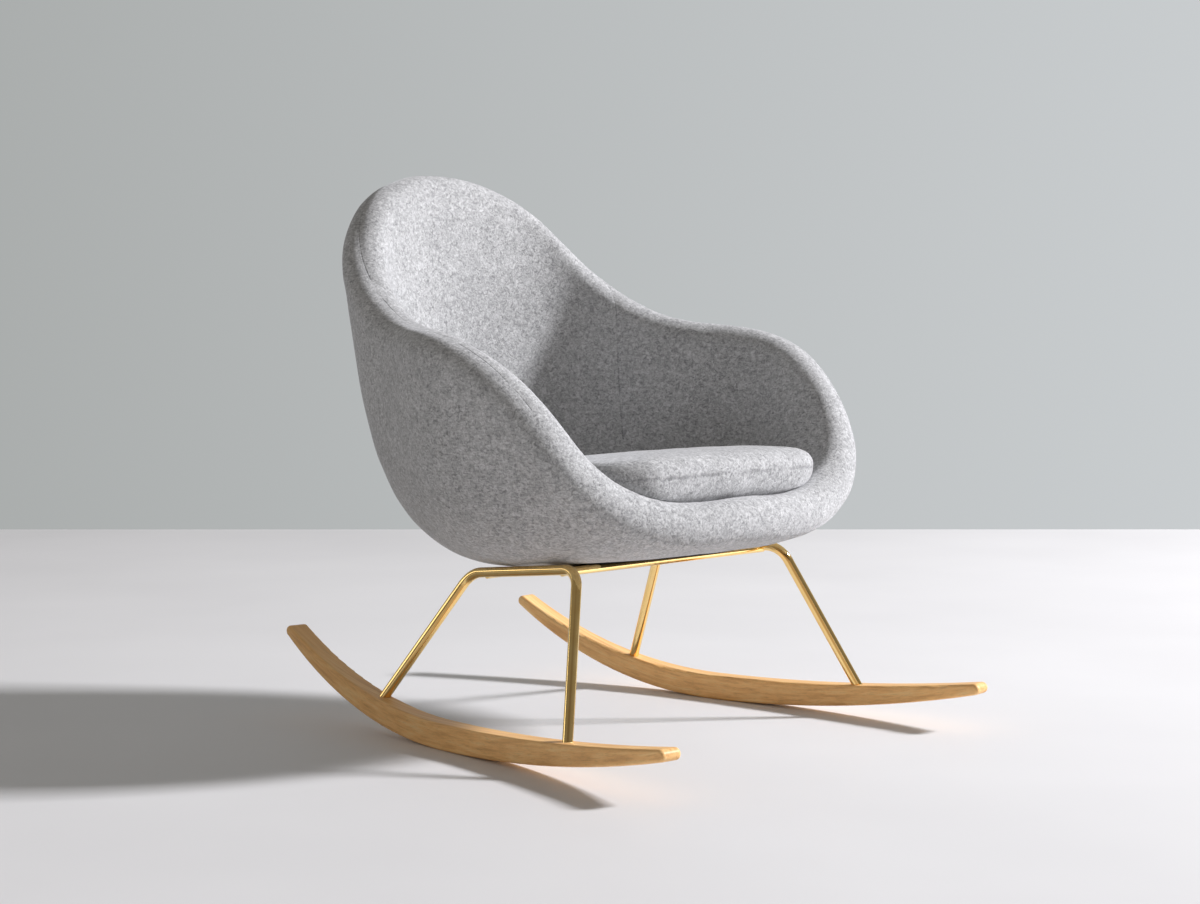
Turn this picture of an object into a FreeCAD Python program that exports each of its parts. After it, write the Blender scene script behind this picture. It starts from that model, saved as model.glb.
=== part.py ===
import FreeCAD, Part
import math
import os
from FreeCAD import Placement, Rotation, Vector

# Upholstered tub rocking chair, in millimetres. +Z is up, the chair faces -Y, and the origin is on
# the floor under the middle of the chair. Left and right are the sitter's. The tub, its cushion and
# the rails of the base lean back together, so they are drawn level in a seat frame whose origin is
# the middle of the tub's flat underside, and then tilted into place.

# Seat frame
SEAT_Y = -44.0
SEAT_Z = 275.0
SEAT_TILT = 6.2

# Tub wall, to the middle of the wall, in the seat frame
WALL_THICKNESS = 72.0
BASE_HALF_WIDTH = 167.0
BASE_HALF_DEPTH = 160.0
FRONT_REACH = 242.0
ARM_REACH = 362.0
BACK_REACH = 392.0
FRONT_RIM_Z = 48.0
ARM_RIM_Z = 324.0
BACK_RIM_Z = 628.0
RIM_PULL = 0.32

# Half of the rim, from the middle of the front to the top of the back. Each point has its share of
# the arm reach, its share of the front reach (negative) or back reach, its level, where 0 is the
# front rim, 1 the arm and 2 the top of the back, how far the wall leans outwards there, and how
# full the belly under it is, as a share of the wall's span.
RIM_SHAPE = [
    (0.0, -1.0, 0.0, 78.0, 0.5),
    (0.465, -0.94, 0.02, 72.0, 0.5),
    (0.827, -0.822, 0.282, 42.0, 0.5),
    (0.972, -0.489, 0.741, 20.0, 0.5),
    (1.0, 0.007, 1.0, 6.0, 0.5),
    (0.856, 0.349, 1.109, 2.0, 0.48),
    (0.708, 0.711, 1.435, 6.0, 0.46),
    (0.441, 0.929, 1.851, 12.0, 0.48),
    (0.0, 1.0, 2.0, 15.0, 0.5),
]

# Layers of the wall, and the clearance between soft layers
FELT = 2.5
CORE_THICKNESS = 4.0
SOFT_GAP = 0.3
SEAM_GAP_ANGLE = 0.3

# How finely the wall is drawn: points round half a ring, steps up the wall, angles over the rim's roll
RING_POINTS = 21
WALL_STEPS = [0.0, 0.12, 0.27, 0.43, 0.6, 0.78, 0.9, 1.0]
ROLL_ANGLES = [0.0, 30.0, 60.0, 90.0 - SEAM_GAP_ANGLE]

# Dust cover, and the screws that hold the shell core on the base block
DUST_COVER = 1.0
DUST_OVERLAP = 8.0
CORE_SCREWS = 6
CORE_SCREW_RADIUS = 2.0
CORE_SCREW_HEAD_RADIUS = 4.5
CORE_SCREW_LENGTH = 28.0
CORE_SCREW_HALF_WIDTH = 90.0
CORE_SCREW_HALF_DEPTH = 85.0

# Bolts through the tabs of the base, tee nuts in the block, and the play around them
BOLT_X = 130.0
BOLT_Y = 54.0
BOLT_RADIUS = 4.0
BOLT_REACH = 30.0
BOLT_HEAD_FLATS = 13.0
BOLT_HEAD_HEIGHT = 5.3
WASHER_RADIUS = 8.0
WASHER_THICKNESS = 1.6
TEE_NUT_RADIUS = 5.2
TEE_NUT_LENGTH = 11.0
TEE_NUT_FLANGE_RADIUS = 10.0
TEE_NUT_FLANGE = 1.5
THREAD_PLAY = 0.15
BOLT_PLAY = 0.5

# Bent-rod base: rail corners in the seat frame, feet along the rockers
ROD_RADIUS = 8.0
CROSSBAR_RADIUS = 6.0
RAIL_FRONT_X = 235.0
RAIL_FRONT_Y = -116.0
RAIL_REAR_X = 217.0
RAIL_REAR_Y = 134.0
FRONT_BEND = 36.0
REAR_BEND = 45.0
FRONT_FOOT = -246.0
REAR_FOOT = 221.0
FRONT_CROSSBAR_Y = -81.0
REAR_CROSSBAR_Y = 96.0
TAB_THICKNESS = 4.0
TAB_WIDTH = 36.0

# Rockers: toed-in oak runners, in side view around the point that touches the floor
ROCKER_HALF_TRACK = 316.0
ROCKER_TOE = 6.2
ROCKER_WIDTH = 36.0
ROCKER_DEPTH = 41.0
ROCKER_TIP = 461.0
ROCKER_TIP_RADIUS = 9.0
ROCKER_CONTACT = 45.0
FRONT_TIP_HEIGHT = 68.0
REAR_TIP_HEIGHT = 135.0
ROCKER_EDGE = 5.0

# Leg ends in the rockers, each held by a cross screw under a plug
SOCKET_DEPTH = 24.0
SOCKET_PLAY = 0.2
CROSS_SCREW_RADIUS = 2.5
CROSS_SCREW_HEAD_RADIUS = 4.8
CROSS_SCREW_HEAD = 4.0
CROSS_SCREW_END = 7.0
CROSS_SCREW_PLAY = 0.1
PLUG_RADIUS = 5.2
PLUG_DEPTH = 4.0

# Loose seat cushion, in the seat frame, with its clearance to the tub's inner face at its seam, and
# the play of its filling and of its zip
CUSHION_SIDE_ROOM = 32.0
CUSHION_FRONT_OVERHANG = 4.0
CUSHION_REAR_ROOM = 67.0
CUSHION_THICKNESS = 88.0
CUSHION_FRONT_CORNER = 88.0
CUSHION_REAR_CORNER = 176.0
CUSHION_FRONT_BOW = 6.0
CUSHION_REAR_BOW = 5.0
CUSHION_SIDE_DRAW = 4.0
FILLING_PLAY = 1.6
ZIP_PLAY = 0.7
CORNER_STEPS = 4
ZIP_HALF_LENGTH = 60.0
ZIP_WIDTH = 8.0
ZIP_THICKNESS = 1.5
ZIP_SLIDER_LENGTH = 11.0
ZIP_SLIDER_WIDTH = 9.0
ZIP_SLIDER_DEPTH = 3.0
ZIP_SLIDER_PLACE = 0.8
ZIP_PULL_LENGTH = 14.0

# The cushion's swell: share of its full outline against share of its thickness, with the seam at its
# widest ring
CUSHION_PROFILE = [
    (0.5, 0.0),
    (0.66, 0.075),
    (0.79, 0.195),
    (0.895, 0.335),
    (0.97, 0.465),
    (1.0, 0.57),
    (0.985, 0.68),
    (0.935, 0.785),
    (0.845, 0.86),
    (0.71, 0.93),
    (0.54, 0.972),
    (0.35, 0.993),
    (0.15, 1.0),
]

UP = Vector(0, 0, 1)
ACROSS = Vector(1, 0, 0)
ORIGIN = Vector(0, 0, 0)
SEAT = Placement(Vector(0, SEAT_Y, SEAT_Z), Rotation(ACROSS, -SEAT_TILT))
WALL_HALF = WALL_THICKNESS / 2
CORE_HALF = CORE_THICKNESS / 2
BLOCK_TOP = WALL_HALF - CORE_HALF
DUST_TOP = -SOFT_GAP
DUST_BOTTOM = DUST_TOP - DUST_COVER
TAB_TOP = DUST_BOTTOM - SOFT_GAP
RAIL_Z = TAB_TOP - TAB_THICKNESS / 2
CROSSBAR_Z = TAB_TOP - CROSSBAR_RADIUS
CUSHION_BOTTOM = WALL_THICKNESS + SOFT_GAP
CUSHION_SEAM_RING = CUSHION_PROFILE.index(max(CUSHION_PROFILE))
CUSHION_SEAM = CUSHION_BOTTOM + CUSHION_PROFILE[CUSHION_SEAM_RING][1] * CUSHION_THICKNESS
SIDES = {"left": 1, "right": -1}


# Shapes that several pieces use

def cylinder(start, end, radius):
    return Part.makeCylinder(radius, start.distanceToPoint(end), start, end - start)


def upright(x, y, bottom, top, radius):
    return cylinder(Vector(x, y, bottom), Vector(x, y, top), radius)


def ellipse_disc(half_width, half_depth, bottom, top):
    centre = Vector(0, 0, bottom)
    ends = sorted([Vector(half_width, 0, 0), Vector(0, half_depth, 0)], key=lambda end: -end.Length)
    outline = Part.Ellipse(centre + ends[0], centre + ends[1], centre)
    return Part.Face(Part.Wire(outline.toShape())).extrude(UP * (top - bottom))


def arc(start, middle, end):
    return Part.Arc(start, middle, end).toShape()


def on_seat(shape):
    """The shape, moved from the level seat frame to its tilted place."""
    placed = shape.copy()
    placed.Placement = SEAT.multiply(placed.Placement)
    return placed


# Soft forms, drawn as half curves about the middle plane x = 0 and mirrored

def half_curve(points, parameters):
    """A smooth curve round one half of a form, square to the middle plane at both its ends."""
    start = ACROSS * (points[1].x / (parameters[1] - parameters[0]))
    end = -ACROSS * (points[-2].x / (parameters[-1] - parameters[-2]))
    ends = {"InitialTangent": start, "FinalTangent": end, "Scale": False}
    curve = Part.BSplineCurve()
    curve.interpolate(Points=points, Parameters=parameters, **ends)
    return curve


def chord_parameters(points):
    """The running length of the straight line through some points."""
    parameters = [0.0]
    for start, end in zip(points, points[1:]):
        parameters.append(parameters[-1] + start.distanceToPoint(end))
    return parameters


def both_halves(face):
    return [face, face.mirror(ORIGIN, ACROSS)]


def skin(rings, levels):
    """A smooth face through half curves that share their parameters, one for each level."""
    crossings = []
    for poles in zip(*[ring.getPoles() for ring in rings]):
        crossing = Part.BSplineCurve()
        crossing.interpolate(Points=list(poles), Parameters=levels)
        crossings.append(crossing)
    surface = Part.BSplineSurface()
    surface.buildFromPolesMultsKnots(
        [crossing.getPoles() for crossing in crossings],
        rings[0].getMultiplicities(), crossings[0].getMultiplicities(),
        rings[0].getKnots(), crossings[0].getKnots(),
        False, False, rings[0].Degree, crossings[0].Degree)
    return both_halves(surface.toShape())


def band(first, second):
    return both_halves(Part.makeRuledSurface(first.toShape(), second.toShape()))


def disc(rim):
    edge = rim.toShape()
    return [Part.Face(Part.Wire([edge, edge.mirror(ORIGIN, ACROSS)]))]


def closed_solid(faces):
    shell = Part.Compound(faces)
    shell.sewShape()
    solid = Part.Solid(shell.Shells[0])
    if solid.Volume < 0:
        solid.reverse()
    return solid


# Tub wall

def rim_point(across, along, level):
    """A point of the rim's middle line, from its shares of the tub's main sizes."""
    reach = FRONT_REACH if along < 0 else BACK_REACH
    if level <= 1:
        height = FRONT_RIM_Z + level * (ARM_RIM_Z - FRONT_RIM_Z)
    else:
        height = ARM_RIM_Z + (level - 1) * (BACK_RIM_Z - ARM_RIM_Z)
    return Vector(across * ARM_REACH, along * reach, height)


# Half of the rim's middle line, and the wall's lean and belly along it, on one parameter
RIM_POINTS = [rim_point(*station[:3]) for station in RIM_SHAPE]
RIM_PARAMETERS = chord_parameters(RIM_POINTS)
RIM_LEANS = [Vector(point.x, point.y, station[3]) for point, station in zip(RIM_POINTS, RIM_SHAPE)]
RIM_BELLIES = [Vector(point.x, point.y, station[4]) for point, station in zip(RIM_POINTS, RIM_SHAPE)]
RIM = half_curve(RIM_POINTS, RIM_PARAMETERS)
RIM_LEAN = half_curve(RIM_LEANS, RIM_PARAMETERS)
RIM_BELLY = half_curve(RIM_BELLIES, RIM_PARAMETERS)
RIM_LENGTH = RIM_PARAMETERS[-1]
ARM_STATION = RIM_PARAMETERS[RIM_SHAPE.index(max(RIM_SHAPE))]


def wall_controls(u):
    """The four control points of the wall's section at one place along the rim."""
    rim = RIM.value(u)
    lean = math.radians(RIM_LEAN.value(u).z)
    turn = math.atan2(rim.x, -rim.y)
    base = Vector(BASE_HALF_WIDTH * math.sin(turn), -BASE_HALF_DEPTH * math.cos(turn), WALL_HALF)
    outward = Vector(rim.x - base.x, rim.y - base.y, 0).normalize()
    leaning = outward * math.sin(lean) + UP * math.cos(lean)
    span = base.distanceToPoint(rim)
    belly = RIM_BELLY.value(u).z * span
    return base, base + outward * belly, rim - leaning * (RIM_PULL * span), rim


def wall_middle(u, t):
    """A point of the wall's middle surface: t is 0 at the base and 1 at the rim."""
    a, b, c, d = wall_controls(u)
    s = 1 - t
    return a * s**3 + b * (3 * t * s**2) + c * (3 * t**2 * s) + d * t**3


def wall_climb(u, t):
    """The unit direction from the base towards the rim."""
    a, b, c, d = wall_controls(u)
    s = 1 - t
    return ((b - a) * s**2 + (c - b) * (2 * t * s) + (d - c) * t**2).normalize()


def wall_normal(u, t):
    """The unit direction out of the tub."""
    if u == 0 or u == RIM_LENGTH:
        along = ACROSS if u == 0 else -ACROSS
    else:
        step = RIM_LENGTH / 1000
        along = wall_middle(u + step, t) - wall_middle(u - step, t)
    return along.cross(wall_climb(u, t)).normalize()


def inner_face(u, height):
    """The point of the tub's inner face at one height, found by halving the wall's section."""
    low = 0.0
    high = 1.0
    while high - low > 1e-6:
        t = (low + high) / 2
        point = wall_middle(u, t) - wall_normal(u, t) * WALL_HALF
        if point.z < height:
            low = t
        else:
            high = t
    return point


STATIONS = [RIM_LENGTH * i / (RING_POINTS - 1) for i in range(RING_POINTS)]
MIDDLES = {t: [wall_middle(u, t) for u in STATIONS] for t in WALL_STEPS}
NORMALS = {t: [wall_normal(u, t) for u in STATIONS] for t in WALL_STEPS}
RIM_CLIMBS = [wall_climb(u, 1.0) for u in STATIONS]


def wall_ring(t, offset):
    """Half a ring round the tub, at one step up the wall and one offset outwards."""
    points = [middle + normal * offset for middle, normal in zip(MIDDLES[t], NORMALS[t])]
    return half_curve(points, STATIONS)


def roll_ring(side, angle, radius):
    """Half a ring on the rim's roll, at an angle from the wall's outer or inner face up to the crest."""
    out = side * radius * math.cos(math.radians(angle))
    up = radius * math.sin(math.radians(angle))
    places = zip(MIDDLES[1.0], NORMALS[1.0], RIM_CLIMBS)
    points = [middle + normal * out + climb * up for middle, normal, climb in places]
    return half_curve(points, STATIONS)


def wall_skin(side, offset):
    """One face of a layer, from the base to the rim. Side is 1 outside and -1 inside."""
    return skin([wall_ring(t, side * offset) for t in WALL_STEPS], WALL_STEPS)


def roll_skin(side, radius):
    return skin([roll_ring(side, angle, radius) for angle in ROLL_ANGLES], ROLL_ANGLES)


def base_faces(side, near, far):
    """What closes a layer at the base: a ring under the tub outside, two discs of a bowl inside."""
    near_ring = wall_ring(0.0, side * near)
    far_ring = wall_ring(0.0, side * far)
    return band(near_ring, far_ring) if side > 0 else disc(near_ring) + disc(far_ring)


def foam_layer(side, near, far):
    """Padding beside the core, which rolls over the rim and closes on the crest."""
    near_top = wall_ring(1.0, side * near)
    near_end = roll_ring(side, ROLL_ANGLES[-1], near)
    far_end = roll_ring(side, ROLL_ANGLES[-1], far)
    faces = wall_skin(side, near) + band(near_top, near_end) + band(near_end, far_end)
    return closed_solid(faces + wall_skin(side, far) + roll_skin(side, far) + base_faces(side, near, far))


def cover_layer(side, near, far):
    """The felt over one side of the wall, from the base to the seam on the crest."""
    near_end = roll_ring(side, ROLL_ANGLES[-1], near)
    far_end = roll_ring(side, ROLL_ANGLES[-1], far)
    faces = base_faces(side, near, far) + band(near_end, far_end)
    for offset in (near, far):
        faces += wall_skin(side, offset) + roll_skin(side, offset)
    return closed_solid(faces)


def core_shell():
    faces = band(wall_ring(1.0, CORE_HALF), wall_ring(1.0, -CORE_HALF))
    for side in (1, -1):
        faces += wall_skin(side, CORE_HALF) + disc(wall_ring(0.0, side * CORE_HALF))
    return closed_solid(faces)


def make_tub():
    foam_near = CORE_HALF + SOFT_GAP
    foam_far = WALL_HALF - FELT - SOFT_GAP
    core = core_shell()
    for x, y in core_screw_places():
        core = core.cut(core_screw(x, y, THREAD_PLAY))
    return {
        "shell_core": on_seat(core),
        "outer_foam": on_seat(foam_layer(1, foam_near, foam_far)),
        "inner_foam": on_seat(foam_layer(-1, foam_near, foam_far)),
        "outer_cover": on_seat(cover_layer(1, WALL_HALF - FELT, WALL_HALF)),
        "inner_cover": on_seat(cover_layer(-1, WALL_HALF - FELT, WALL_HALF)),
    }


# Base block under the core, with its screws, tee nuts, bolts and dust cover

def core_screw_places():
    turns = [2 * math.pi * (i + 0.5) / CORE_SCREWS for i in range(CORE_SCREWS)]
    return [(CORE_SCREW_HALF_WIDTH * math.cos(a), CORE_SCREW_HALF_DEPTH * math.sin(a)) for a in turns]


def core_screw(x, y, play=0.0):
    """A countersunk screw, its head level with the inside of the core, or the hole for it."""
    top = WALL_HALF + CORE_HALF
    radius = CORE_SCREW_RADIUS + play
    head_radius = CORE_SCREW_HEAD_RADIUS + play
    neck = top - (head_radius - radius)
    head = Part.makeCone(radius, head_radius, top - neck, Vector(x, y, neck))
    return head.fuse(upright(x, y, top - CORE_SCREW_LENGTH - play, neck, radius)).removeSplitter()


def bolt_places():
    return [(x, y) for x in (BOLT_X, -BOLT_X) for y in (-BOLT_Y, BOLT_Y)]


def tee_nut(x, y, play=0.0):
    """A tee nut, its flange level with the top of the block, or the seat for it."""
    barrel = upright(x, y, BLOCK_TOP - TEE_NUT_LENGTH - play, BLOCK_TOP, TEE_NUT_RADIUS + play)
    flange_bottom = BLOCK_TOP - TEE_NUT_FLANGE
    return barrel.fuse(upright(x, y, flange_bottom, BLOCK_TOP, TEE_NUT_FLANGE_RADIUS + play))


def frame_bolt(x, y):
    washer_bottom = TAB_TOP - TAB_THICKNESS - WASHER_THICKNESS
    head_corner = BOLT_HEAD_FLATS / math.sqrt(3)
    outline = Part.makePolygon([
        Vector(x + head_corner * math.cos(i * math.pi / 3), y + head_corner * math.sin(i * math.pi / 3),
               washer_bottom - BOLT_HEAD_HEIGHT)
        for i in range(7)
    ])
    head = Part.Face(outline).extrude(UP * BOLT_HEAD_HEIGHT)
    return head.fuse(upright(x, y, washer_bottom, BOLT_REACH, BOLT_RADIUS))


def washer(x, y):
    top = TAB_TOP - TAB_THICKNESS
    bottom = top - WASHER_THICKNESS
    return upright(x, y, bottom, top, WASHER_RADIUS).cut(bolt_hole(x, y, bottom, top))


def bolt_hole(x, y, bottom, top):
    return upright(x, y, bottom, top, BOLT_RADIUS + BOLT_PLAY)


def make_base_block():
    block = ellipse_disc(BASE_HALF_WIDTH - SOFT_GAP, BASE_HALF_DEPTH - SOFT_GAP, 0, BLOCK_TOP)
    cloth_width = BASE_HALF_WIDTH + DUST_OVERLAP
    cloth_depth = BASE_HALF_DEPTH + DUST_OVERLAP
    cloth = ellipse_disc(cloth_width, cloth_depth, DUST_BOTTOM, DUST_TOP)
    nuts = []
    for x, y in bolt_places():
        block = block.cut(bolt_hole(x, y, 0, BLOCK_TOP)).cut(tee_nut(x, y, THREAD_PLAY))
        cloth = cloth.cut(bolt_hole(x, y, DUST_BOTTOM, DUST_TOP))
        thread = upright(x, y, BLOCK_TOP - TEE_NUT_LENGTH, BLOCK_TOP, BOLT_RADIUS + THREAD_PLAY)
        nuts.append(tee_nut(x, y).cut(thread))
    for x, y in core_screw_places():
        block = block.cut(core_screw(x, y, THREAD_PLAY))
    screws = [core_screw(x, y) for x, y in core_screw_places()]
    bolts = [frame_bolt(x, y) for x, y in bolt_places()]
    washers = [washer(x, y) for x, y in bolt_places()]
    return {
        "base_block": on_seat(block),
        "dust_cover": on_seat(cloth),
        "core_screws": on_seat(Part.Compound(screws)),
        "tee_nuts": on_seat(Part.Compound(nuts)),
        "frame_bolts": on_seat(Part.Compound(bolts)),
        "frame_washers": on_seat(Part.Compound(washers)),
    }


# Rockers, drawn in side view: Y along the runner, Z up, X across it

def rocker_place(side):
    return Placement(Vector(side * ROCKER_HALF_TRACK, 0, 0), Rotation(UP, side * ROCKER_TOE))


def rocker_half(end):
    """Tip centre, bottom radius and top radius of the runner's front (-1) or rear (1) half."""
    tip = Vector(0, end * ROCKER_TIP, FRONT_TIP_HEIGHT if end < 0 else REAR_TIP_HEIGHT)
    reach = tip.y - ROCKER_CONTACT
    rise = tip.z - ROCKER_DEPTH
    radius = ROCKER_TIP_RADIUS
    bottom = (reach**2 + tip.z**2 - radius**2) / (2 * (tip.z - radius))
    top = (reach**2 + rise**2 - radius**2) / (2 * (rise + radius))
    return tip, bottom, top


def rocker_top(y):
    radius = rocker_half(-1 if y < ROCKER_CONTACT else 1)[2]
    return ROCKER_DEPTH + radius - math.sqrt(radius**2 - (y - ROCKER_CONTACT)**2)


def on_circle(centre, radius, angle):
    """A point of a circle in the side view, at an angle from straight down towards the rear."""
    return centre + Vector(0, radius * math.sin(angle), -radius * math.cos(angle))


def rocker_edges(end):
    """Bottom arc, rounded nose and top arc of one half of the runner."""
    tip, bottom, top = rocker_half(end)
    bottom_centre = Vector(0, ROCKER_CONTACT, bottom)
    top_centre = Vector(0, ROCKER_CONTACT, ROCKER_DEPTH + top)
    reach = tip.y - ROCKER_CONTACT
    bottom_turn = math.asin(reach / (bottom - ROCKER_TIP_RADIUS))
    top_turn = math.asin(reach / (top + ROCKER_TIP_RADIUS))
    low_end = on_circle(bottom_centre, bottom, bottom_turn)
    high_end = on_circle(top_centre, top, top_turn)
    nose_turn = (bottom_turn + top_turn) / 2 + end * math.pi / 2
    low_start = on_circle(bottom_centre, bottom, 0)
    high_start = on_circle(top_centre, top, 0)
    return [
        arc(low_start, on_circle(bottom_centre, bottom, bottom_turn / 2), low_end),
        arc(low_end, on_circle(tip, ROCKER_TIP_RADIUS, nose_turn), high_end),
        arc(high_start, on_circle(top_centre, top, top_turn / 2), high_end),
    ]


def rocker_blank():
    outline = Part.Wire(Part.__sortEdges__(rocker_edges(-1) + rocker_edges(1)))
    face = Part.Face(outline)
    face.translate(Vector(-ROCKER_WIDTH / 2, 0, 0))
    body = face.extrude(Vector(ROCKER_WIDTH, 0, 0))
    long_edges = [edge for edge in body.Edges if abs(edge.CenterOfMass.x) > ROCKER_WIDTH / 4]
    return body.makeFillet(ROCKER_EDGE, long_edges)


def foot_middle(foot):
    """Where a leg's axis and its cross screw meet, in the rocker's side view."""
    return Vector(0, foot, rocker_top(foot) - SOCKET_DEPTH / 2)


def cross_bore(side, foot, start, end, radius):
    """A round bore across the rocker at one foot, from and to depths under its inner face."""
    middle = foot_middle(foot)
    face = -side * ROCKER_WIDTH / 2
    first = Vector(face + side * start, middle.y, middle.z)
    last = Vector(face + side * end, middle.y, middle.z)
    return cylinder(first, last, radius)


def cross_screw(side, foot, play=0.0):
    head_end = PLUG_DEPTH + CROSS_SCREW_HEAD
    shank_end = ROCKER_WIDTH - CROSS_SCREW_END + play
    head = cross_bore(side, foot, PLUG_DEPTH, head_end, CROSS_SCREW_HEAD_RADIUS + play)
    return head.fuse(cross_bore(side, foot, head_end, shank_end, CROSS_SCREW_RADIUS + play))


def on_rocker(shape, side):
    placed = shape.copy()
    placed.Placement = rocker_place(side).multiply(placed.Placement)
    return placed


def make_rockers():
    nodes = {}
    screws = []
    plugs = []
    for name, side in SIDES.items():
        rocker = on_rocker(rocker_blank(), side)
        for leg in legs(side):
            rocker = rocker.cut(leg_socket(leg))
        for foot in (FRONT_FOOT, REAR_FOOT):
            plug = on_rocker(cross_bore(side, foot, 0, PLUG_DEPTH, PLUG_RADIUS), side)
            rocker = rocker.cut(plug).cut(on_rocker(cross_screw(side, foot, CROSS_SCREW_PLAY), side))
            screws.append(on_rocker(cross_screw(side, foot), side))
            plugs.append(plug)
        nodes[name + "_rocker"] = rocker
    nodes["rocker_screws"] = Part.Compound(screws)
    nodes["rocker_plugs"] = Part.Compound(plugs)
    return nodes


# Bent-rod base

def rail_corners(side):
    front = SEAT.multVec(Vector(side * RAIL_FRONT_X, RAIL_FRONT_Y, RAIL_Z))
    rear = SEAT.multVec(Vector(side * RAIL_REAR_X, RAIL_REAR_Y, RAIL_Z))
    return front, rear


def leg_end(corner, side, foot):
    """The end of a leg's axis, at the floor of its socket in the rocker."""
    middle = rocker_place(side).multVec(foot_middle(foot))
    direction = (middle - corner).normalize()
    return middle + direction * (SOCKET_DEPTH / 2 / -direction.z)


def legs(side):
    """Top corner and lower end of the front and rear legs of one side."""
    front, rear = rail_corners(side)
    return (front, leg_end(front, side, FRONT_FOOT)), (rear, leg_end(rear, side, REAR_FOOT))


def leg_socket(leg):
    corner, end = leg
    return cylinder(end, corner, ROD_RADIUS + SOCKET_PLAY)


def bend(before, corner, after, radius):
    """Start, middle and end of the arc that rounds a corner of a bent rod."""
    back = (before - corner).normalize()
    ahead = (after - corner).normalize()
    half_angle = back.getAngle(ahead) / 2
    run = radius / math.tan(half_angle)
    middle_way = (back + ahead).normalize()
    middle = corner + middle_way * (radius / math.sin(half_angle) - radius)
    return corner + back * run, middle, corner + ahead * run


def side_frame(side):
    (front, front_end), (rear, rear_end) = legs(side)
    front_bend = bend(front_end, front, rear, FRONT_BEND)
    rear_bend = bend(front, rear, rear_end, REAR_BEND)
    path = Part.Wire([
        Part.LineSegment(front_end, front_bend[0]).toShape(),
        arc(*front_bend),
        Part.LineSegment(front_bend[2], rear_bend[0]).toShape(),
        arc(*rear_bend),
        Part.LineSegment(rear_bend[2], rear_end).toShape(),
    ])
    section = Part.Wire(Part.makeCircle(ROD_RADIUS, front_end, front - front_end))
    rod = path.makePipeShell([section], True, False)
    for foot in (FRONT_FOOT, REAR_FOOT):
        rod = rod.cut(on_rocker(cross_screw(side, foot, CROSS_SCREW_PLAY), side))
    return rod


def rail_x(y):
    """Half the distance between the rails at one depth of the seat frame."""
    share = (y - RAIL_FRONT_Y) / (RAIL_REAR_Y - RAIL_FRONT_Y)
    return RAIL_FRONT_X + share * (RAIL_REAR_X - RAIL_FRONT_X)


def rail_line(side):
    """The straight run of one rail, out to its corners, for what is welded against it."""
    front = Vector(side * RAIL_FRONT_X, RAIL_FRONT_Y, RAIL_Z)
    rear = Vector(side * RAIL_REAR_X, RAIL_REAR_Y, RAIL_Z)
    return cylinder(front, rear, ROD_RADIUS)


def crossbar(y):
    half = Vector(rail_x(y), 0, 0)
    middle = Vector(0, y, CROSSBAR_Z)
    bar = cylinder(middle - half, middle + half, CROSSBAR_RADIUS)
    for side in SIDES.values():
        bar = bar.cut(rail_line(side))
    return on_seat(max(bar.Solids, key=lambda solid: solid.Volume))


def tab(side, y):
    """A plate against the inside of the rail, with a round inner end about the bolt."""
    bottom = TAB_TOP - TAB_THICKNESS
    corner = Vector(BOLT_X, y - TAB_WIDTH / 2, bottom)
    plate = Part.makeBox(rail_x(y) - BOLT_X, TAB_WIDTH, TAB_THICKNESS, corner)
    plate = plate.fuse(upright(BOLT_X, y, bottom, TAB_TOP, TAB_WIDTH / 2)).removeSplitter()
    plate = plate.cut(bolt_hole(BOLT_X, y, bottom, TAB_TOP)).cut(rail_line(1))
    if side < 0:
        plate = plate.mirror(ORIGIN, ACROSS)
    return on_seat(plate)


def make_frame():
    nodes = {name + "_side_frame": side_frame(side) for name, side in SIDES.items()}
    nodes["front_crossbar"] = crossbar(FRONT_CROSSBAR_Y)
    nodes["rear_crossbar"] = crossbar(REAR_CROSSBAR_Y)
    for name, side in SIDES.items():
        nodes[name + "_front_tab"] = tab(side, -BOLT_Y)
        nodes[name + "_rear_tab"] = tab(side, BOLT_Y)
    return nodes


# Loose seat cushion

CUSHION_HALF_WIDTH = inner_face(ARM_STATION, CUSHION_SEAM).x - CUSHION_SIDE_ROOM
CUSHION_REAR = inner_face(RIM_LENGTH, CUSHION_SEAM).y - CUSHION_REAR_ROOM
CUSHION_FRONT = FRONT_REACH + CUSHION_FRONT_OVERHANG


def corner_points(half, end, radius, way):
    """Points of a round corner, in the order from the front to the rear."""
    centre = Vector(half - radius, end - way * radius, 0)
    angles = [math.radians(90 * i / CORNER_STEPS) for i in range(CORNER_STEPS + 1)]
    points = [centre + Vector(math.cos(angle), way * math.sin(angle), 0) * radius for angle in angles]
    return points if way > 0 else points[::-1]


def bowed_points(end, chord, bow):
    """The middle and the quarter of an end that bows out between its corners."""
    return [Vector(0, end + bow, 0), Vector(chord / 2, end + 0.75 * bow, 0)]


def cushion_outline(inset):
    """Half of the cushion's outline, with its sides drawn in between round corners."""
    half = CUSHION_HALF_WIDTH - inset
    front = inset - CUSHION_FRONT
    rear = CUSHION_REAR - inset
    front_corner = CUSHION_FRONT_CORNER - inset
    rear_corner = CUSHION_REAR_CORNER - inset
    side_middle = (front + front_corner + rear - rear_corner) / 2
    points = bowed_points(front, half - front_corner, -CUSHION_FRONT_BOW)
    points += corner_points(half, front, front_corner, -1)
    points.append(Vector(half - CUSHION_SIDE_DRAW, side_middle, 0))
    points += corner_points(half, rear, rear_corner, 1)
    return points + bowed_points(rear, half - rear_corner, CUSHION_REAR_BOW)[::-1]


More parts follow.
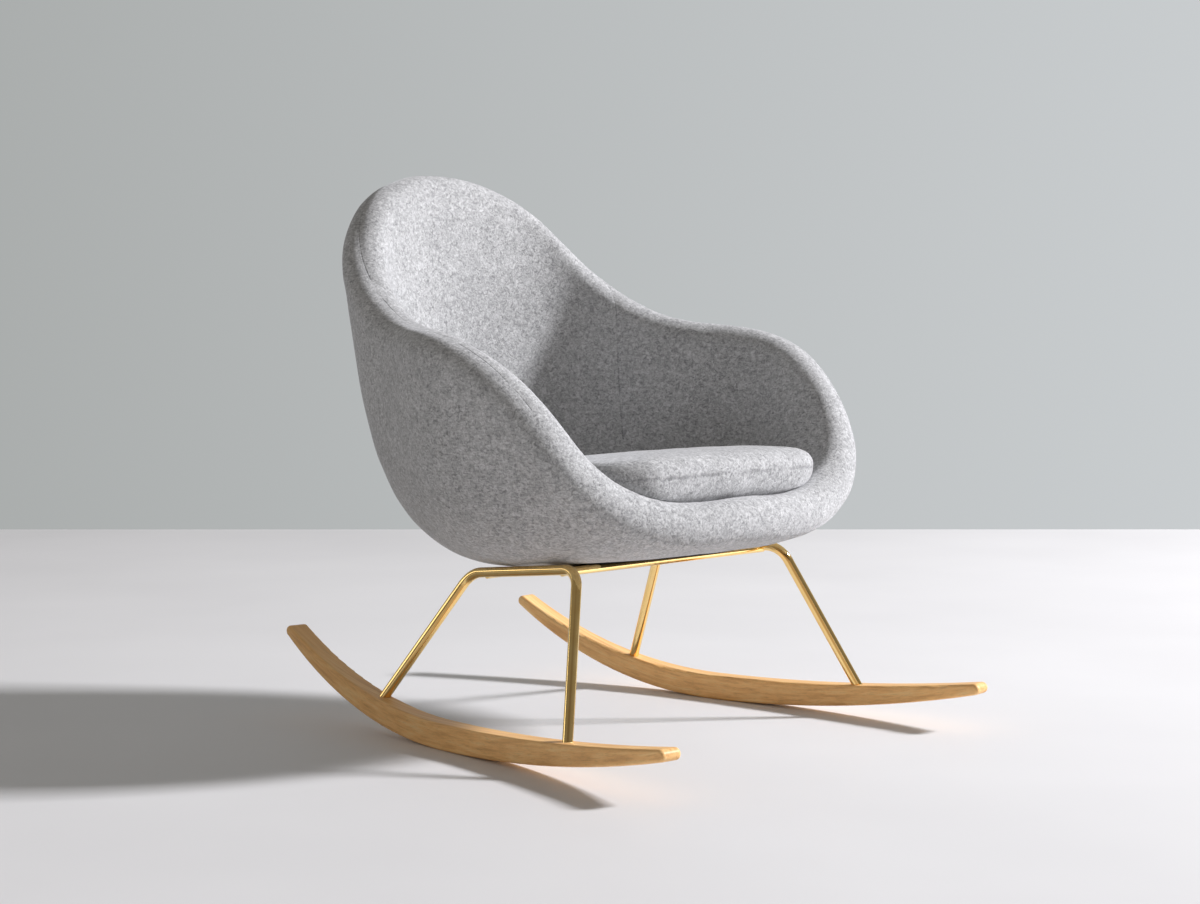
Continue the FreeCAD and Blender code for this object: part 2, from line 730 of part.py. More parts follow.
def cushion_rings(inset, profile):
    """Half rings of the cushion, or of its filling at an inset, through part of its profile."""
    outline = cushion_outline(inset)
    parameters = chord_parameters(outline)
    centre = Vector(0, (CUSHION_REAR - CUSHION_FRONT) / 2, 0)
    rings = []
    for share, level in profile:
        height = CUSHION_BOTTOM + inset + level * (CUSHION_THICKNESS - 2 * inset)
        points = [centre + (point - centre) * share + UP * height for point in outline]
        rings.append(half_curve(points, parameters))
    return rings


def cushion_skin(rings, profile):
    path = [Vector(share * CUSHION_HALF_WIDTH, level * CUSHION_THICKNESS, 0) for share, level in profile]
    return skin(rings, chord_parameters(path))


def cushion_filling(inset):
    rings = cushion_rings(inset, CUSHION_PROFILE)
    return closed_solid(cushion_skin(rings, CUSHION_PROFILE) + disc(rings[0]) + disc(rings[-1]))


def cushion_panel(profile, pole):
    """One felt panel, between the seam and its own pole, the first or last ring of its profile."""
    outside = cushion_rings(0, profile)
    inside = cushion_rings(FELT, profile)
    seam = -1 if pole == 0 else 0
    faces = cushion_skin(outside, profile) + cushion_skin(inside, profile)
    faces += disc(outside[pole]) + disc(inside[pole]) + band(outside[seam], inside[seam])
    return closed_solid(faces)


def zip_arc():
    """Radius and centre of the rear edge's arc, which the zip follows."""
    chord = CUSHION_HALF_WIDTH - CUSHION_REAR_CORNER
    radius = (chord**2 + CUSHION_REAR_BOW**2) / (2 * CUSHION_REAR_BOW)
    return radius, Vector(0, CUSHION_REAR + CUSHION_REAR_BOW - radius, 0)


def zip_tape():
    """The zip's tape, a band behind the cushion, on its seam."""
    radius, centre = zip_arc()
    inner = radius + ZIP_PLAY
    outer = inner + ZIP_THICKNESS
    spread = ZIP_HALF_LENGTH / radius
    bottom = UP * (CUSHION_SEAM - ZIP_WIDTH / 2)

    def place(reach, turn):
        return centre + bottom + Vector(reach * math.sin(turn), reach * math.cos(turn), 0)

    outline = Part.Wire([
        arc(place(inner, -spread), place(inner, 0), place(inner, spread)),
        Part.LineSegment(place(inner, spread), place(outer, spread)).toShape(),
        arc(place(outer, spread), place(outer, 0), place(outer, -spread)),
        Part.LineSegment(place(outer, -spread), place(inner, -spread)).toShape(),
    ])
    return Part.Face(outline).extrude(UP * ZIP_WIDTH)


def zip_slider():
    """The slider with its hanging pull, near one end of the tape."""
    radius, centre = zip_arc()
    back = radius + ZIP_PLAY + ZIP_THICKNESS + SOFT_GAP
    low = CUSHION_SEAM - ZIP_SLIDER_WIDTH / 2
    corner = Vector(-ZIP_SLIDER_LENGTH / 2, back, low)
    body = Part.makeBox(ZIP_SLIDER_LENGTH, ZIP_SLIDER_DEPTH, ZIP_SLIDER_WIDTH, corner)
    corner = Vector(-ZIP_SLIDER_LENGTH / 4, back + ZIP_SLIDER_DEPTH / 2, low - ZIP_PULL_LENGTH)
    pull = Part.makeBox(ZIP_SLIDER_LENGTH / 2, ZIP_SLIDER_DEPTH / 2, ZIP_PULL_LENGTH, corner)
    slider = body.fuse(pull)
    slider.rotate(ORIGIN, UP, -math.degrees(ZIP_SLIDER_PLACE * ZIP_HALF_LENGTH / radius))
    slider.translate(centre)
    return slider


def make_cushion():
    below = CUSHION_PROFILE[:CUSHION_SEAM_RING + 1]
    above = CUSHION_PROFILE[CUSHION_SEAM_RING:]
    return {
        "cushion_foam": on_seat(cushion_filling(FELT + FILLING_PLAY)),
        "cushion_bottom_cover": on_seat(cushion_panel(below, 0)),
        "cushion_top_cover": on_seat(cushion_panel(above, -1)),
        "cushion_zip": on_seat(zip_tape()),
        "cushion_zip_slider": on_seat(zip_slider()),
    }


def main():
    os.makedirs("parts", exist_ok=True)
    nodes = {}
    for make in (make_tub, make_base_block, make_rockers, make_frame, make_cushion):
        nodes.update(make())
    for name, shape in nodes.items():
        shape.exportStep("parts/" + name + ".step")
        print(name, "solids", len(shape.Solids), "valid", shape.isValid(), "mm3", round(shape.Volume))


main()
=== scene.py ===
"""Looks of the upholstered rocking chair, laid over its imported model.

Metres, +Z up, the sitter faces -Y. The felt tub and the loose seat cushion grow from the solids
that they stand for. Everything hard keeps its own solid and gets a finish.
"""

import math

import bmesh
import bpy
from mathutils import Matrix, Vector, noise
from mathutils.bvhtree import BVHTree


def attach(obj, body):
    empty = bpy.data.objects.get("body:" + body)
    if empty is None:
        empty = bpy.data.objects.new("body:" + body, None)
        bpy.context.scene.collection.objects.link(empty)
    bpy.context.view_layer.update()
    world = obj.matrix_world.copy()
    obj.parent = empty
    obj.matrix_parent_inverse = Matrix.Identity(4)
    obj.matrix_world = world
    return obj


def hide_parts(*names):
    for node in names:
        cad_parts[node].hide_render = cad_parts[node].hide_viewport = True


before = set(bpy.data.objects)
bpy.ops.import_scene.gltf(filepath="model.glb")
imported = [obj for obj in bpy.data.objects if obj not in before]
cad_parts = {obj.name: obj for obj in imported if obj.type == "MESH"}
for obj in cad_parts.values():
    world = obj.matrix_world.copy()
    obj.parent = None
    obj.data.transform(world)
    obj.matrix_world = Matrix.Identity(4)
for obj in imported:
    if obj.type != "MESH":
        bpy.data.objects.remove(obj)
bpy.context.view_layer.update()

DOWN = Vector((0, 0, -1))

# Meshing
MERGE_DISTANCE = 0.00001
TUB_VOXEL = 0.006
CUSHION_VOXEL = 0.0055
TUB_SMOOTHING = 4
CUSHION_SMOOTHING = 3
FILLED_SMOOTHING = 5

# Upholstery
TUB_FORM = ("inner_cover", "outer_cover", "inner_foam", "outer_foam", "shell_core", "base_block")
TUB_STANDS_FOR = ("inner_cover", "outer_cover", "inner_foam", "outer_foam")
TUB_NEIGHBOURS = (
    "dust_cover", "left_side_frame", "right_side_frame", "front_crossbar", "rear_crossbar",
    "left_front_tab", "right_front_tab", "left_rear_tab", "right_rear_tab",
)
CUSHION_FORM = ("cushion_foam", "cushion_top_cover", "cushion_bottom_cover")
CUSHION_NEIGHBOURS = ("cushion_zip", "cushion_zip_slider")
CLEARANCE = 0.0006
CLEARANCE_REACH = 0.005
SEAM_WIDTH = 0.0018
SEAM_DEPTH = 0.0013
SEAM_REACH = 0.007
NO_SEAM = 1.0
PANEL_SEAM_POINT = Vector((0.239, 0.206, 0))
PANEL_SEAM_ACROSS = Vector((0.87, -0.49, 0)).normalized()
PANEL_SEAM_FOOT = 0.44
RIM_SEAM_FOOT = 0.52
LUMP_SIZE = 0.045
LUMP_HEIGHT = 0.0008

# Cushion filling
CUSHION_PRESSURE = 4.0
CUSHION_FRAMES = 20
CUSHION_SHRINK = 0.001
CUSHION_SWELL = 0.006
CUSHION_SAG = 0.012
CUSHION_SAG_RUN = 0.012
CUSHION_PLUMP = 0.008
CUSHION_PLUMP_AT = 0.022
CUSHION_PLUMP_RUN = 0.022

# Rockers: the underside rises by a bend times the squared distance from where it stands
ROCKER_CONTACT = 0.045
GRAIN_STRETCH = 0.005
FRONT_BEND = 0.227
REAR_BEND = 0.664

# Felt: ramps are (position, colour) stops, bumps are (strength, height)
FLECK_SCALE = 135.0
FLECK_SHARE = 0.55
CLOUD_SCALE = 14.0
FIBRE_SCALE = 330.0
FIBRE_STRETCH = (1, 0.25, 1)
FIBRE_TURNS = ((0.4, 0.3, 0.7), (1.2, -0.5, 2.0), (-0.7, 0.9, -1.1))
WOOL_TONES = ((0.40, (0.235, 0.236, 0.24)), (0.52, (0.43, 0.433, 0.44)), (0.64, (0.64, 0.644, 0.652)))
CLOUD_TONES = ((0.3, (0.9, 0.9, 0.9)), (0.7, (1.0, 1.0, 1.0)))
NAP_BUMP = (0.28, 0.003)
SEAM_BUMP = (0.5, 0.001)
# Seams: painted shade darkens the colour along each seam's line, as if in its groove
SEAM_SHADE = 0.48
SEAM_PAINTED_SHADE_COLOUR = (0.09, 0.09, 0.095, 1)
SEAM_COVER_SCALE = 26.0
SEAM_COVER_RANGE = (0.36, 0.60)
SHEEN_TINT = (0.95, 0.96, 1, 1)

# Brass, with a painted dark reflection down a rod's middle where it faces the eye
BRASS_SMEAR_SCALE = 30.0
BRASS_TONES = ((0.3, (0.97, 0.66, 0.25)), (0.7, (1.0, 0.74, 0.33)))
BRASS_PAINTED_REFLECTION = ((0.0, (0.50, 0.38, 0.27)), (0.03, (0.58, 0.46, 0.34)), (0.09, (1.0, 1.0, 1.0)))
BRASS_ROUGHNESS = (0.06, 0.13)
BRASS_MARK_SCALE = 900.0
BRASS_MARK_BUMP = (0.02, 0.0001)

# Oak
OAK_BAND_SCALE = 150.0
OAK_TONES = ((0.30, (0.72, 0.39, 0.15)), (0.5, (0.92, 0.54, 0.215)), (0.70, (0.97, 0.65, 0.30)))
OAK_PORE_SCALE = 700.0
OAK_PORE_TONES = ((0.34, (0.86, 0.86, 0.86)), (0.48, (1.0, 1.0, 1.0)))
OAK_PORE_BUMP = (0.12, 0.0004)
OAK_ROUGHNESS = (0.36, 0.5)

# Mottled finishes
MOTTLE_DARK = 0.3
MOTTLE_LIGHT = 0.7
MOTTLE_BUMP = (0.2, 0.0003)
FLOOR_MOTTLE_SCALE = 1.5
FLOOR_DARK = (0.725, 0.72, 0.73)
FLOOR_LIGHT = (0.765, 0.76, 0.77)

# Photographer's place
CAMERA_PLACE = Vector((-2.6279, -2.5011, 0.6795))
CAMERA_YAW = math.radians(46.196)
CAMERA_PITCH = math.radians(3.79)
FOCAL_PIXELS = 2281.34
IMAGE_WIDTH = 1200
SENSOR_WIDTH = 36.0
FLOOR_DEPTH = 6.77
FLOOR_NEAR = 14.0
FLOOR_HALF_WIDTH = 16.0

# Light: the backdrop's colour fades into the dim room away from the picture
BACKDROP_END = 0.2
BACKDROP_FULL = 0.9
BACKDROP_SIDE = 0.3
BACKDROP_TONES = ((0.0, (0.39, 0.405, 0.40)), (1.0, (0.60, 0.625, 0.64)))
ROOM_COLOUR = (0.195, 0.183, 0.167, 1)
CHAIR_MIDDLE = Vector((0, 0, 0.45))
KEY_DISTANCE = 9.0
KEY_ELEVATION = 31
KEY_TURN = 6
KEY_SIZE = (1.2, 1.2)
KEY_POWER = 1300.0
KEY_COLOUR = (0.975, 0.97, 1.0)
STRIP_DISTANCE = 4.2
STRIP_ELEVATION = 12
STRIP_TURNS = (180, 228)
STRIP_SIZE = (2.2, 0.6)
STRIP_POWER = 7.0
STRIP_COLOUR = (1.0, 0.97, 0.93)


def view_right():
    return Vector((math.cos(CAMERA_YAW), -math.sin(CAMERA_YAW), 0))


def view_ahead():
    """Level direction from the camera into the picture."""
    return Vector((math.sin(CAMERA_YAW), math.cos(CAMERA_YAW), 0))


def new_piece(name, form):
    """An object of its own from a finished bmesh."""
    mesh = bpy.data.meshes.new(name)
    form.to_mesh(mesh)
    form.free()
    piece = bpy.data.objects.new(name, mesh)
    bpy.context.scene.collection.objects.link(piece)
    return piece


def node_form(node_names):
    """One bmesh with copies of some CAD nodes, their loose triangles merged."""
    form = bmesh.new()
    for node_name in node_names:
        form.from_mesh(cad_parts[node_name].data)
    bmesh.ops.remove_doubles(form, verts=form.verts, dist=MERGE_DISTANCE)
    return form


def node_tree(*node_names):
    form = node_form(node_names)
    tree = BVHTree.FromBMesh(form)
    form.free()
    return tree


def piece_tree(piece):
    form = bmesh.new()
    form.from_mesh(piece.data)
    tree = BVHTree.FromBMesh(form)
    form.free()
    return tree


def apply_modifiers(piece):
    graph = bpy.context.evaluated_depsgraph_get()
    mesh = bpy.data.meshes.new_from_object(piece.evaluated_get(graph))
    piece.modifiers.clear()
    piece.data = mesh


def remesh(piece, voxel):
    """Turns nested closed solids into one even skin."""
    modifier = piece.modifiers.new("even_skin", "REMESH")
    modifier.mode = "VOXEL"
    modifier.voxel_size = voxel
    apply_modifiers(piece)


def island_of(start):
    found = {start}
    edge = [start]
    while edge:
        vert = edge.pop()
        for link in vert.link_edges:
            other = link.other_vert(vert)
            if other not in found:
                found.add(other)
                edge.append(other)
    return found


def keep_outer_skin(piece):
    """Drops the small closed skins that the remesh leaves round inner hollows."""
    form = bmesh.new()
    form.from_mesh(piece.data)
    left = set(form.verts)
    islands = []
    while left:
        island = island_of(next(iter(left)))
        islands.append(island)
        left -= island
    islands.sort(key=len)
    hidden = [vert for island in islands[:-1] for vert in island]
    bmesh.ops.delete(form, geom=hidden, context="VERTS")
    form.to_mesh(piece.data)
    form.free()


def smooth(piece, rounds):
    form = bmesh.new()
    form.from_mesh(piece.data)
    for _ in range(rounds):
        bmesh.ops.smooth_vert(
            form, verts=form.verts, factor=0.5, use_axis_x=True, use_axis_y=True, use_axis_z=True
        )
    form.to_mesh(piece.data)
    form.free()
    for face in piece.data.polygons:
        face.use_smooth = True


def push(piece, heights):
    """Moves each vertex along its normal by its own height."""
    mesh = piece.data
    steps = [vert.normal * height for vert, height in zip(mesh.vertices, heights)]
    for vert, step in zip(mesh.vertices, steps):
        vert.co += step


def stay_clear(piece, tree):
    """Draws a soft skin back to a small gap from a neighbour, unless it lies deeper than the reach."""
    heights = []
    for vert in piece.data.vertices:
        place, normal, _, _ = tree.find_nearest(vert.co, CLEARANCE_REACH)
        room = CLEARANCE if place is None else (vert.co - place).dot(normal)
        heights.append(min(0.0, room - CLEARANCE))
    push(piece, heights)


def lumps(piece):
    """Heights of the slight unevenness of a filling under felt."""
    return [LUMP_HEIGHT * noise.noise(vert.co / LUMP_SIZE) for vert in piece.data.vertices]


def store(piece, name, values):
    attribute = piece.data.attributes.new(name, "FLOAT", "POINT")
    attribute.data.foreach_set("value", values)


def seam_between(piece, first, second):
    """Signed distance from the seam between two covers, per vertex: negative on the first one."""
    first_tree = node_tree(first)
    second_tree = node_tree(second)
    return [
        first_tree.find_nearest(vert.co)[3] - second_tree.find_nearest(vert.co)[3]
        for vert in piece.data.vertices
    ]


def rim_seam(piece, rim):
    """Signed distance from the rim's seam, which the nap covers along the low front lip."""
    return [
        from_rim if vert.co.z > RIM_SEAM_FOOT else NO_SEAM
        for vert, from_rim in zip(piece.data.vertices, rim)
    ]


def panel_seam(piece, rim):
    """Signed distance from the two seams that part the inner back from the inner arms."""
    values = []
    for vert, from_rim in zip(piece.data.vertices, rim):
        place = Vector((abs(vert.co.x), vert.co.y, 0))
        inside = from_rim < 0 and vert.co.z > PANEL_SEAM_FOOT
        values.append((place - PANEL_SEAM_POINT).dot(PANEL_SEAM_ACROSS) if inside else NO_SEAM)
    return values


def ridges(seam, height, distance, run):
    """Heights of soft ridges at some distance on either side of a seam."""
    offs = [(abs(from_seam) - distance) / run for from_seam in seam]
    return [height * math.exp(-off * off) for off in offs]


def dress(piece, material):
    piece.data.materials.clear()
    piece.data.materials.append(material)


def make_tub():
    """The felt tub: one closed padded skin over shell, foam and base block."""
    tub = new_piece("tub_upholstery", node_form(TUB_FORM))
    remesh(tub, TUB_VOXEL)
    keep_outer_skin(tub)
    smooth(tub, TUB_SMOOTHING)
    push(tub, lumps(tub))
    stay_clear(tub, node_tree(*TUB_NEIGHBOURS))
    rim = seam_between(tub, "inner_cover", "outer_cover")
    seams = {"rim_seam": rim_seam(tub, rim), "panel_seam": panel_seam(tub, rim)}
    for name, seam in seams.items():
        store(tub, name, seam)
        push(tub, ridges(seam, -SEAM_DEPTH, 0, SEAM_REACH))
    dress(tub, felt("tub_felt", list(seams)))
    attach(tub, "chair")
    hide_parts(*TUB_STANDS_FOR)
    return tub


def swell(piece):
    """Fills a pad with cloth pressure, each vertex kept near its start."""
    start = [vert.co.copy() for vert in piece.data.vertices]
    cloth = piece.modifiers.new("filling", "CLOTH")
    cloth.settings.use_pressure = True
    cloth.settings.uniform_pressure_force = CUSHION_PRESSURE
    cloth.settings.effector_weights.gravity = 0
    cloth.point_cache.frame_start = 1
    cloth.point_cache.frame_end = CUSHION_FRAMES
    for step in range(1, CUSHION_FRAMES + 1):
        bpy.context.scene.frame_set(step)
    apply_modifiers(piece)
    bpy.context.scene.frame_set(1)
    for vert, origin in zip(piece.data.vertices, start):
        move = vert.co - origin
        if move.length > CUSHION_SWELL:
            vert.co = origin + move * (CUSHION_SWELL / move.length)


def settle(piece, seam, tree):
    """Lowers the underside by the room that a ray finds below it, or by the whole sag if none is hit."""
    for vert, from_seam in zip(piece.data.vertices, seam):
        share = min(1.0, max(0.0, -from_seam / CUSHION_SAG_RUN))
        _, _, _, room = tree.ray_cast(vert.co, DOWN, CUSHION_SAG + CLEARANCE)
        drop = CUSHION_SAG if room is None else max(0.0, room - CLEARANCE)
        vert.co.z -= share * drop


def make_cushion(tub):
    """The loose seat cushion: filled by cloth pressure, rounded out beside its seam and lowered."""
    cushion = new_piece("seat_cushion", node_form(CUSHION_FORM))
    remesh(cushion, CUSHION_VOXEL)
    keep_outer_skin(cushion)
    smooth(cushion, CUSHION_SMOOTHING)
    seam = seam_between(cushion, "cushion_bottom_cover", "cushion_top_cover")
    push(cushion, [-CUSHION_SHRINK] * len(cushion.data.vertices))
    swell(cushion)
    push(cushion, ridges(seam, CUSHION_PLUMP, CUSHION_PLUMP_AT, CUSHION_PLUMP_RUN))
    tub_tree = piece_tree(tub)
    settle(cushion, seam, tub_tree)
    smooth(cushion, FILLED_SMOOTHING)
    push(cushion, lumps(cushion))
    stay_clear(cushion, tub_tree)
    stay_clear(cushion, node_tree(*CUSHION_NEIGHBOURS))
    store(cushion, "equator_seam", seam)
    subdivision = cushion.modifiers.new("fine_skin", "SUBSURF")
    subdivision.levels = 1
    subdivision.render_levels = 1
    dress(cushion, felt("cushion_felt", ["equator_seam"]))
    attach(cushion, "cushion")
    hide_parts(*CUSHION_FORM)


def feed(tree, node, inputs):
    """Sets the inputs of a shader node. Each is a value, or the socket that feeds it."""
    for name, value in inputs.items():
        if isinstance(value, bpy.types.NodeSocket):
            tree.links.new(value, node.inputs[name])
        else:
            node.inputs[name].default_value = value


def add(tree, kind, inputs=None, **settings):
    """Adds one shader node."""
    node = tree.nodes.new("ShaderNode" + kind)
    for name, value in settings.items():
        setattr(node, name, value)
    feed(tree, node, inputs or {})
    return node


def cloudy(tree, place, scale, detail, roughness=0.5, distortion=0.0):
    """Noise from 0 to 1."""
    return add(tree, "TexNoise", {
        "Vector": place, "Scale": scale, "Detail": detail,
        "Roughness": roughness, "Distortion": distortion,
    }).outputs["Fac"]


def mapped(tree, value, source=(0.0, 1.0), target=(0.0, 1.0), **settings):
    """A value carried from one range into another."""
    return add(tree, "MapRange", {
        "Value": value, "From Min": source[0], "From Max": source[1],
        "To Min": target[0], "To Max": target[1],
    }, **settings).outputs["Result"]


def bumped(tree, height, bump, **under):
    """A normal bent by a height, over another normal if one is given."""
    strength, distance = bump
    inputs = {"Strength": strength, "Distance": distance, "Height": height, **under}
    return add(tree, "Bump", inputs).outputs["Normal"]


def math_node(tree, operation, first, second=0.0):
    return add(tree, "Math", {0: first, 1: second}, operation=operation).outputs[0]


def ramp(tree, factor, stops):
    """A colour ramp from (position, colour) stops."""
    node = add(tree, "ValToRGB", {"Fac": factor})
    elements = node.color_ramp.elements
    while len(elements) < len(stops):
        elements.new(0.5)
    for element, (position, colour) in zip(elements, stops):
        element.position = position
        element.color = (*colour, 1)
    return node.outputs["Color"]


def grey(value):
    return (value, value, value)


def new_material(name):
    material = bpy.data.materials.new(name)
    material.use_nodes = True
    tree = material.node_tree
    return material, tree, tree.nodes["Principled BSDF"]


def object_place(tree):
    return add(tree, "TexCoord").outputs["Object"]


def mixed(tree, blend_type, factor, first, second):
    """Two colours mixed in one of the usual blend ways."""
    node = add(tree, "Mix", {0: factor, 6: first, 7: second}, data_type="RGBA", blend_type=blend_type)
    return node.outputs[2]


def fibre_layer(tree, place, turn):
    """Streaks of fibres that lie one way."""
    laid = add(tree, "Mapping", {"Vector": place, "Rotation": turn, "Scale": FIBRE_STRETCH})
    return cloudy(tree, laid.outputs["Vector"], FIBRE_SCALE, 2.0, roughness=0.6, distortion=0.5)


def seam_line(tree, seams):
    """1 on a seam's line, 0 away from it and where the nap covers it."""
    line = None
    for seam in seams:
        across = add(tree, "Attribute", attribute_name=seam).outputs["Fac"]
        off = math_node(tree, "ABSOLUTE", across)
        line = off if line is None else math_node(tree, "MINIMUM", line, off)
    line = mapped(tree, line, (0.0, SEAM_WIDTH), (1.0, 0.0), interpolation_type="SMOOTHSTEP")
    cover = cloudy(tree, object_place(tree), SEAM_COVER_SCALE, 3.0)
    shown = mapped(tree, cover, SEAM_COVER_RANGE)
    return math_node(tree, "MULTIPLY", line, shown)


def mixed_fibres(tree, place, flecks):
    """Flecks mixed with the lightest of the fibre layers."""
    fibres = None
    for turn in FIBRE_TURNS:
        layer = fibre_layer(tree, place, turn)
        fibres = layer if fibres is None else math_node(tree, "MAXIMUM", fibres, layer)
    shares = (
        math_node(tree, "MULTIPLY", flecks, FLECK_SHARE),
        math_node(tree, "MULTIPLY", fibres, 1 - FLECK_SHARE),
    )
    return math_node(tree, "ADD", *shares)


def felt(name, seams):
    """Grey wool felt: light and dark fibres mixed, a soft nap, and sewn seams with painted shade along
    their line.
    """
    material, tree, shader = new_material(name)
    place = object_place(tree)
    flecks = cloudy(tree, place, FLECK_SCALE, 3.0, roughness=0.65, distortion=1.4)
    clouds = cloudy(tree, place, CLOUD_SCALE, 2.0)
    blend = mixed_fibres(tree, place, flecks)
    tone = ramp(tree, clouds, CLOUD_TONES)
    wool = mixed(tree, "MULTIPLY", 1.0, ramp(tree, blend, WOOL_TONES), tone)
    line = seam_line(tree, seams)
    # painted shade along the seam's line
    shadow = math_node(tree, "MULTIPLY", line, SEAM_SHADE)
    nap = bumped(tree, blend, NAP_BUMP)
    groove = math_node(tree, "MULTIPLY", line, -1.0)
    feed(tree, shader, {
        "Base Color": mixed(tree, "MIX", shadow, wool, SEAM_PAINTED_SHADE_COLOUR),
        "Normal": bumped(tree, groove, SEAM_BUMP, Normal=nap),
        "Roughness": 0.95,
        "Specular IOR Level": 0.15,
        "Sheen Weight": 0.35,
        "Sheen Roughness": 0.45,
        "Sheen Tint": SHEEN_TINT,
    })
    return material


def brass():
    """Polished brass with smears and fine marks, and a painted dark reflection where it faces the eye.
    """
    material, tree, shader = new_material("polished_brass")
    place = object_place(tree)
    smears = cloudy(tree, place, BRASS_SMEAR_SCALE, 4.0, roughness=0.6)
    tone = ramp(tree, smears, BRASS_TONES)
    # painted dark reflection: the middle of a rod, where it faces the eye, is darkened
    facing = add(tree, "LayerWeight", {"Blend": 0.5}).outputs["Facing"]
    marks = cloudy(tree, place, BRASS_MARK_SCALE, 2.0)
    feed(tree, shader, {
        "Base Color": mixed(tree, "MULTIPLY", 1.0, tone, ramp(tree, facing, BRASS_PAINTED_REFLECTION)),
        "Roughness": mapped(tree, smears, target=BRASS_ROUGHNESS),
        "Normal": bumped(tree, marks, BRASS_MARK_BUMP),
        "Metallic": 1.0,
    })
    return material


def grain_place(tree):
    """Coordinates of bent oak: across, along, and height over the runner's curved underside."""
    parts = add(tree, "SeparateXYZ", {"Vector": object_place(tree)})
    along = math_node(tree, "SUBTRACT", parts.outputs["Y"], ROCKER_CONTACT)
    rear = math_node(tree, "GREATER_THAN", along, 0.0)
    bend = mapped(tree, rear, target=(FRONT_BEND, REAR_BEND))
    rise = math_node(tree, "MULTIPLY", math_node(tree, "MULTIPLY", along, along), bend)
    height = math_node(tree, "SUBTRACT", parts.outputs["Z"], rise)
    return add(tree, "CombineXYZ", {
        "X": parts.outputs["X"], "Y": math_node(tree, "MULTIPLY", along, GRAIN_STRETCH), "Z": height,
    }).outputs["Vector"]


def oak():
    """Oiled oak, its grain lengthwise along the bend."""
    material, tree, shader = new_material("oiled_oak")
    place = grain_place(tree)
    bands = cloudy(tree, place, OAK_BAND_SCALE, 4.0, roughness=0.6, distortion=0.2)
    pores = cloudy(tree, place, OAK_PORE_SCALE, 2.0, roughness=0.7)
    wood = ramp(tree, bands, OAK_TONES)
    feed(tree, shader, {
        "Base Color": mixed(tree, "MULTIPLY", 1.0, wood, ramp(tree, pores, OAK_PORE_TONES)),
        "Roughness": mapped(tree, bands, target=OAK_ROUGHNESS),
        "Normal": bumped(tree, pores, OAK_PORE_BUMP),
        "Specular IOR Level": 0.3,
    })
    return material


def speckled(name, dark, light, scale, roughness, metallic=0.0):
    """A plain finish with a fine mottle, for what is hidden or barely seen."""
    material, tree, shader = new_material(name)
    mottle = cloudy(tree, object_place(tree), scale, 3.0)
    feed(tree, shader, {
        "Base Color": ramp(tree, mottle, [(MOTTLE_DARK, dark), (MOTTLE_LIGHT, light)]),
        "Normal": bumped(tree, mottle, MOTTLE_BUMP),
        "Roughness": roughness,
        "Metallic": metallic,
    })
    return material


def finish_nodes():
    """Gives every CAD node the finish of its material slot."""
    finishes = {
        "brass": brass(),
        "oak": oak(),
        "steel": speckled("zinced_steel", grey(0.45), grey(0.62), 400.0, 0.35, 1.0),
        "dust_cloth": speckled("dust_cloth_weave", grey(0.015), grey(0.04), 900.0, 0.9),
        "zip_tape": speckled("zip_tape_weave", grey(0.16), grey(0.28), 1200.0, 0.85),
        "plywood": speckled("birch_plywood", (0.55, 0.40, 0.24), (0.70, 0.54, 0.35), 90.0, 0.7),
        "hard_shell": speckled("moulded_shell", grey(0.04), grey(0.07), 200.0, 0.5),
        "foam": speckled("seat_foam", (0.72, 0.66, 0.45), (0.82, 0.77, 0.58), 500.0, 0.95),
    }
    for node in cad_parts.values():
        finish = finishes.get(node.data.materials[0].name.split(".")[0])
        if finish:
            node.data.materials[0] = finish


def make_floor():
    """A pale floor that ends at the backdrop's line."""
    form = bmesh.new()
    bmesh.ops.create_grid(form, x_segments=1, y_segments=1, size=1.0)
    middle = (FLOOR_DEPTH - FLOOR_NEAR) / 2
    half_depth = (FLOOR_DEPTH + FLOOR_NEAR) / 2
    bmesh.ops.scale(form, verts=form.verts, vec=(FLOOR_HALF_WIDTH, half_depth, 1))
    bmesh.ops.translate(form, verts=form.verts, vec=(0, middle, 0))
    turn = Matrix.Rotation(-CAMERA_YAW, 3, "Z")
    bmesh.ops.rotate(form, verts=form.verts, cent=(0, 0, 0), matrix=turn)
    bmesh.ops.translate(form, verts=form.verts, vec=(CAMERA_PLACE.x, CAMERA_PLACE.y, 0))
    floor = new_piece("floor", form)
    material, tree, shader = new_material("pale_floor")
    mottle = cloudy(tree, object_place(tree), FLOOR_MOTTLE_SCALE, 3.0)
    tones = ramp(tree, mottle, [(MOTTLE_DARK, FLOOR_DARK), (MOTTLE_LIGHT, FLOOR_LIGHT)])
    feed(tree, shader, {"Base Color": tones, "Roughness": 0.55})
    floor.data.materials.append(material)


def share_along(tree, facing, direction):
    """How far a facing goes along a direction."""
    inputs = {0: facing, 1: direction}
    return add(tree, "VectorMath", inputs, operation="DOT_PRODUCT").outputs["Value"]


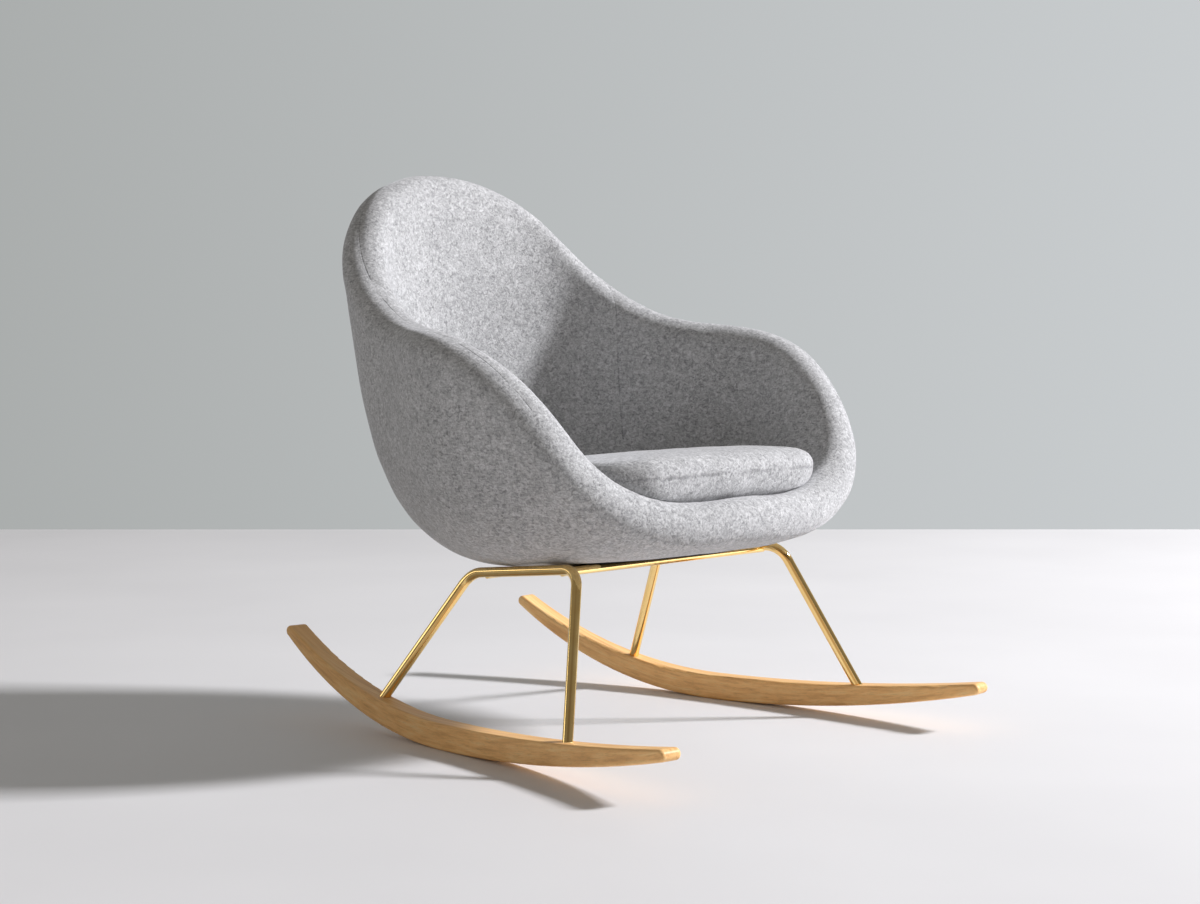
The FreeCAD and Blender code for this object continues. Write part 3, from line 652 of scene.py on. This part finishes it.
def make_backdrop():
    """A pale backdrop as the world's colour, darker towards the picture's left and the dim rest."""
    world = bpy.data.worlds.new("backdrop")
    bpy.context.scene.world = world
    world.use_nodes = True
    tree = world.node_tree
    facing = add(tree, "TexCoord").outputs["Generated"]
    shade = mapped(tree, share_along(tree, facing, view_right()), (-BACKDROP_SIDE, BACKDROP_SIDE))
    ahead = mapped(tree, share_along(tree, facing, view_ahead()), (BACKDROP_END, BACKDROP_FULL))
    colour = mixed(tree, "MIX", ahead, ROOM_COLOUR, ramp(tree, shade, BACKDROP_TONES))
    feed(tree, tree.nodes["Background"], {"Color": colour})


def make_softbox(name, distance, elevation, turn, size, power, colour):
    """A soft panel aimed at the chair: its turn goes from the picture's right round by the far side."""
    turn = math.radians(turn)
    elevation = math.radians(elevation)
    level = view_right() * math.cos(turn) + view_ahead() * math.sin(turn)
    towards = level * math.cos(elevation) + Vector((0, 0, math.sin(elevation)))
    lamp = bpy.data.lights.new(name, "AREA")
    lamp.shape = "RECTANGLE"
    lamp.size, lamp.size_y = size
    lamp.energy = power
    lamp.color = colour
    light = bpy.data.objects.new(name, lamp)
    light.location = CHAIR_MIDDLE + towards * distance
    light.rotation_mode = "QUATERNION"
    light.rotation_quaternion = (-towards).to_track_quat("-Z", "Y")
    bpy.context.scene.collection.objects.link(light)


def make_camera():
    lens = bpy.data.cameras.new("camera")
    lens.sensor_width = SENSOR_WIDTH
    lens.lens = FOCAL_PIXELS * SENSOR_WIDTH / IMAGE_WIDTH
    camera = bpy.data.objects.new("camera", lens)
    sight = view_ahead() * math.cos(CAMERA_PITCH) - Vector((0, 0, math.sin(CAMERA_PITCH)))
    camera.location = CAMERA_PLACE
    camera.rotation_mode = "QUATERNION"
    camera.rotation_quaternion = sight.to_track_quat("-Z", "Y")
    bpy.context.scene.collection.objects.link(camera)
    bpy.context.scene.camera = camera


finish_nodes()
make_cushion(make_tub())
make_floor()
make_backdrop()
make_softbox("key", KEY_DISTANCE, KEY_ELEVATION, KEY_TURN, KEY_SIZE, KEY_POWER, KEY_COLOUR)
for strip_turn in STRIP_TURNS:
    make_softbox(
        "strip", STRIP_DISTANCE, STRIP_ELEVATION, strip_turn, STRIP_SIZE, STRIP_POWER, STRIP_COLOUR
    )
make_camera()
bpy.context.scene.view_settings.view_transform = "Standard"
